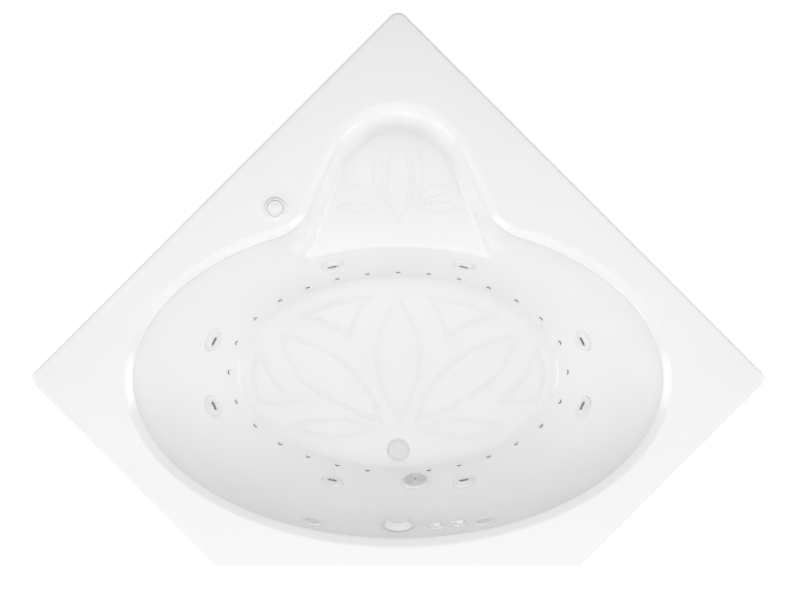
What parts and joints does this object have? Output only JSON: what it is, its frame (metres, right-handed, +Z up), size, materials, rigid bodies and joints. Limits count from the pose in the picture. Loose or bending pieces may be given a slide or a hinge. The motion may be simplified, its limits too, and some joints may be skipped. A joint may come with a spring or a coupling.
{
  "type": "corner bathtub",
  "caption": "Corner jetted bath with an oval well, a corner seat alcove, wall jets, air injectors, pump, blower and support frame.",
  "frame": {"origin": "centre of the bounding box in plan, on the floor the feet stand on", "axes": "+X along the longest extent (the deck's left-right diagonal), +Y towards the wall corner, +Z up"},
  "size_m": [2.1278, 1.6133, 0.5937],
  "materials": {
    "pipe_white": "satin white",
    "fitting_white": "glossy white moulded plastic",
    "hose_clear": "milky flexible tube",
    "board": "raw birch-faced plywood",
    "plastic_black": "satin black",
    "pipe_grey": "satin grey",
    "plastic_dark": "satin dark grey",
    "steel": "brushed stainless",
    "stopper_grey": "satin light grey",
    "rubber_black": "matt",
    "nut_white": "satin white nylon",
    "galvanised": "zinc-plated, satin",
    "nozzle_recess": "glossy white nozzle with a dark recess",
    "lens": "frosted",
    "motor_paint": "satin black paint",
    "grille_grey": "satin light grey",
    "acrylic_white": "high gloss white acrylic"
  },
  "bodies": {
    "tub": {"air_channel": "pipe_white", "air_control_bodies": "fitting_white", "air_injector_caps": "fitting_white", "air_switch_tube": "hose_clear", "base_board": "board", "blower_hose": "pipe_grey", "blower_housing": "plastic_dark", "button_housing": "fitting_white", "control_box": "plastic_dark", "cover_screw": "steel", "drain_cable": "plastic_black", "drain_flange": "steel", "equipment_boards": "board", "fitting_gaskets": "rubber_black", "fitting_nuts": "nut_white", "foot_lock_nuts": "galvanised", "inline_heater": "steel", "jet_air_hose": "hose_clear", "jet_bodies": "pipe_white", "jet_wall_fittings": "fitting_white", "light_housings": "fitting_white", "light_lenses": "lens", "overflow_body": "pipe_grey", "pressure_pipe": "pipe_white", "pump_motor": "motor_paint", "pump_volute": "plastic_dark", "suction_body": "fitting_white", "suction_cover": "grille_grey", "suction_pipe": "pipe_white", "support_frame": "galvanised", "tub_shell": "acrylic_white", "waste_pipes": "pipe_grey"},
    "bezel_1": {"jet_bezel_1": "fitting_white"},
    "nozzle_1": {"jet_nozzle_1": "nozzle_recess"},
    "bezel_2": {"jet_bezel_2": "fitting_white"},
    "nozzle_2": {"jet_nozzle_2": "nozzle_recess"},
    "bezel_3": {"jet_bezel_3": "fitting_white"},
    "nozzle_3": {"jet_nozzle_3": "nozzle_recess"},
    "bezel_4": {"jet_bezel_4": "fitting_white"},
    "nozzle_4": {"jet_nozzle_4": "nozzle_recess"},
    "bezel_5": {"jet_bezel_5": "fitting_white"},
    "nozzle_5": {"jet_nozzle_5": "nozzle_recess"},
    "bezel_6": {"jet_bezel_6": "fitting_white"},
    "nozzle_6": {"jet_nozzle_6": "nozzle_recess"},
    "bezel_7": {"jet_bezel_7": "fitting_white"},
    "nozzle_7": {"jet_nozzle_7": "nozzle_recess"},
    "bezel_8": {"jet_bezel_8": "fitting_white"},
    "nozzle_8": {"jet_nozzle_8": "nozzle_recess"},
    "air_knob_1": {"air_control_knob_1": "fitting_white"},
    "air_knob_2": {"air_control_knob_2": "fitting_white"},
    "overflow_dial": {"overflow_knob": "fitting_white"},
    "stopper": {"drain_stopper": "stopper_grey"},
    "button": {"deck_button": "fitting_white"},
    "impeller": {"pump_impeller": "plastic_black"},
    "fan": {"blower_fan": "plastic_black"},
    "foot_1": {"levelling_foot_1": "galvanised"},
    "foot_2": {"levelling_foot_2": "galvanised"},
    "foot_3": {"levelling_foot_3": "galvanised"},
    "foot_4": {"levelling_foot_4": "galvanised"},
    "foot_5": {"levelling_foot_5": "galvanised"}
  },
  "joints": [
    {"name": "bezel_1_turn", "type": "hinge", "parent": "tub", "child": "bezel_1", "pos_m": [-0.19821, -0.57287, 0.24277], "axis": [0.1865, 0.864, 0.4676], "range_deg": [0, 90]},
    {"name": "nozzle_1_turn", "type": "hinge", "parent": "bezel_1", "child": "nozzle_1", "pos_m": [-0.19821, -0.57287, 0.24277], "axis": [0.1865, 0.864, 0.4676], "continuous": true},
    {"name": "bezel_2_turn", "type": "hinge", "parent": "tub", "child": "bezel_2", "pos_m": [0.19821, -0.57287, 0.24277], "axis": [-0.1865, 0.864, 0.4676], "range_deg": [0, 90]},
    {"name": "nozzle_2_turn", "type": "hinge", "parent": "bezel_2", "child": "nozzle_2", "pos_m": [0.19821, -0.57287, 0.24277], "axis": [-0.1865, 0.864, 0.4676], "continuous": true},
    {"name": "bezel_3_turn", "type": "hinge", "parent": "tub", "child": "bezel_3", "pos_m": [-0.19821, 0.0746, 0.24278], "axis": [0.19, -0.8805, 0.4344], "range_deg": [0, 90]},
    {"name": "nozzle_3_turn", "type": "hinge", "parent": "bezel_3", "child": "nozzle_3", "pos_m": [-0.19821, 0.0746, 0.24278], "axis": [0.19, -0.8805, 0.4344], "continuous": true},
    {"name": "bezel_4_turn", "type": "hinge", "parent": "tub", "child": "bezel_4", "pos_m": [0.19821, 0.0746, 0.24278], "axis": [-0.19, -0.8805, 0.4344], "range_deg": [0, 90]},
    {"name": "nozzle_4_turn", "type": "hinge", "parent": "bezel_4", "child": "nozzle_4", "pos_m": [0.19821, 0.0746, 0.24278], "axis": [-0.19, -0.8805, 0.4344], "continuous": true},
    {"name": "bezel_5_turn", "type": "hinge", "parent": "tub", "child": "bezel_5", "pos_m": [-0.55604, -0.3473, 0.2427], "axis": [0.7165, 0.3588, 0.5982], "range_deg": [0, 90]},
    {"name": "nozzle_5_turn", "type": "hinge", "parent": "bezel_5", "child": "nozzle_5", "pos_m": [-0.55604, -0.3473, 0.2427], "axis": [0.7165, 0.3588, 0.5982], "continuous": true},
    {"name": "bezel_6_turn", "type": "hinge", "parent": "tub", "child": "bezel_6", "pos_m": [0.55604, -0.3473, 0.2427], "axis": [-0.7165, 0.3588, 0.5982], "range_deg": [0, 90]},
    {"name": "nozzle_6_turn", "type": "hinge", "parent": "bezel_6", "child": "nozzle_6", "pos_m": [0.55604, -0.3473, 0.2427], "axis": [-0.7165, 0.3588, 0.5982], "continuous": true},
    {"name": "bezel_7_turn", "type": "hinge", "parent": "tub", "child": "bezel_7", "pos_m": [-0.55605, -0.15098, 0.24271], "axis": [0.7239, -0.3624, 0.5871], "range_deg": [0, 90]},
    {"name": "nozzle_7_turn", "type": "hinge", "parent": "bezel_7", "child": "nozzle_7", "pos_m": [-0.55605, -0.15098, 0.24271], "axis": [0.7239, -0.3624, 0.5871], "continuous": true},
    {"name": "bezel_8_turn", "type": "hinge", "parent": "tub", "child": "bezel_8", "pos_m": [0.55605, -0.15098, 0.24271], "axis": [-0.7239, -0.3624, 0.5871], "range_deg": [0, 90]},
    {"name": "nozzle_8_turn", "type": "hinge", "parent": "bezel_8", "child": "nozzle_8", "pos_m": [0.55605, -0.15098, 0.24271], "axis": [-0.7239, -0.3624, 0.5871], "continuous": true},
    {"name": "air_knob_1_turn", "type": "hinge", "parent": "tub", "child": "air_knob_1", "pos_m": [0.11443, -0.69136, 0.48285], "axis": [-0.0892, 0.9465, 0.3102], "range_deg": [-75, 75]},
    {"name": "air_knob_2_turn", "type": "hinge", "parent": "tub", "child": "air_knob_2", "pos_m": [0.18163, -0.68308, 0.48284], "axis": [-0.1432, 0.9389, 0.3129], "range_deg": [-75, 75]},
    {"name": "overflow_dial_turn", "type": "hinge", "parent": "tub", "child": "overflow_dial", "pos_m": [0, -0.6904, 0.46384], "axis": [0, 0.9451, 0.3268], "range_deg": [0, 120]},
    {"name": "stopper_lift", "type": "slide", "parent": "tub", "child": "stopper", "axis": [0, 0, 1], "range_m": [0, 0.01201]},
    {"name": "button_press", "type": "slide", "parent": "tub", "child": "button", "axis": [0, 0, -1], "range_m": [0, 0.0038], "stiffness_N_per_m": 900, "springref_m": -0.002},
    {"name": "impeller_spin", "type": "hinge", "parent": "tub", "child": "impeller", "pos_m": [-0.8, -0.2973, 0.206], "axis": [0, -1, 0], "continuous": true},
    {"name": "fan_spin", "type": "hinge", "parent": "tub", "child": "fan", "pos_m": [0.8, -0.2573, 0.118], "axis": [0, 0, 1], "continuous": true},
    {"name": "foot_1_adjust", "type": "slide", "parent": "tub", "child": "foot_1", "axis": [0, 0, -1], "range_m": [-0.012, 0.02]},
    {"name": "foot_2_adjust", "type": "slide", "parent": "tub", "child": "foot_2", "axis": [0, 0, -1], "range_m": [-0.012, 0.02]},
    {"name": "foot_3_adjust", "type": "slide", "parent": "tub", "child": "foot_3", "axis": [0, 0, -1], "range_m": [-0.012, 0.02]},
    {"name": "foot_4_adjust", "type": "slide", "parent": "tub", "child": "foot_4", "axis": [0, 0, -1], "range_m": [-0.012, 0.02]},
    {"name": "foot_5_adjust", "type": "slide", "parent": "tub", "child": "foot_5", "axis": [0, 0, -1], "range_m": [-0.012, 0.02]}
  ],
  "couplings": [
    {"joint": "stopper_lift", "follows": "overflow_dial_turn", "m_per_rad": 0.0057296}
  ]
}
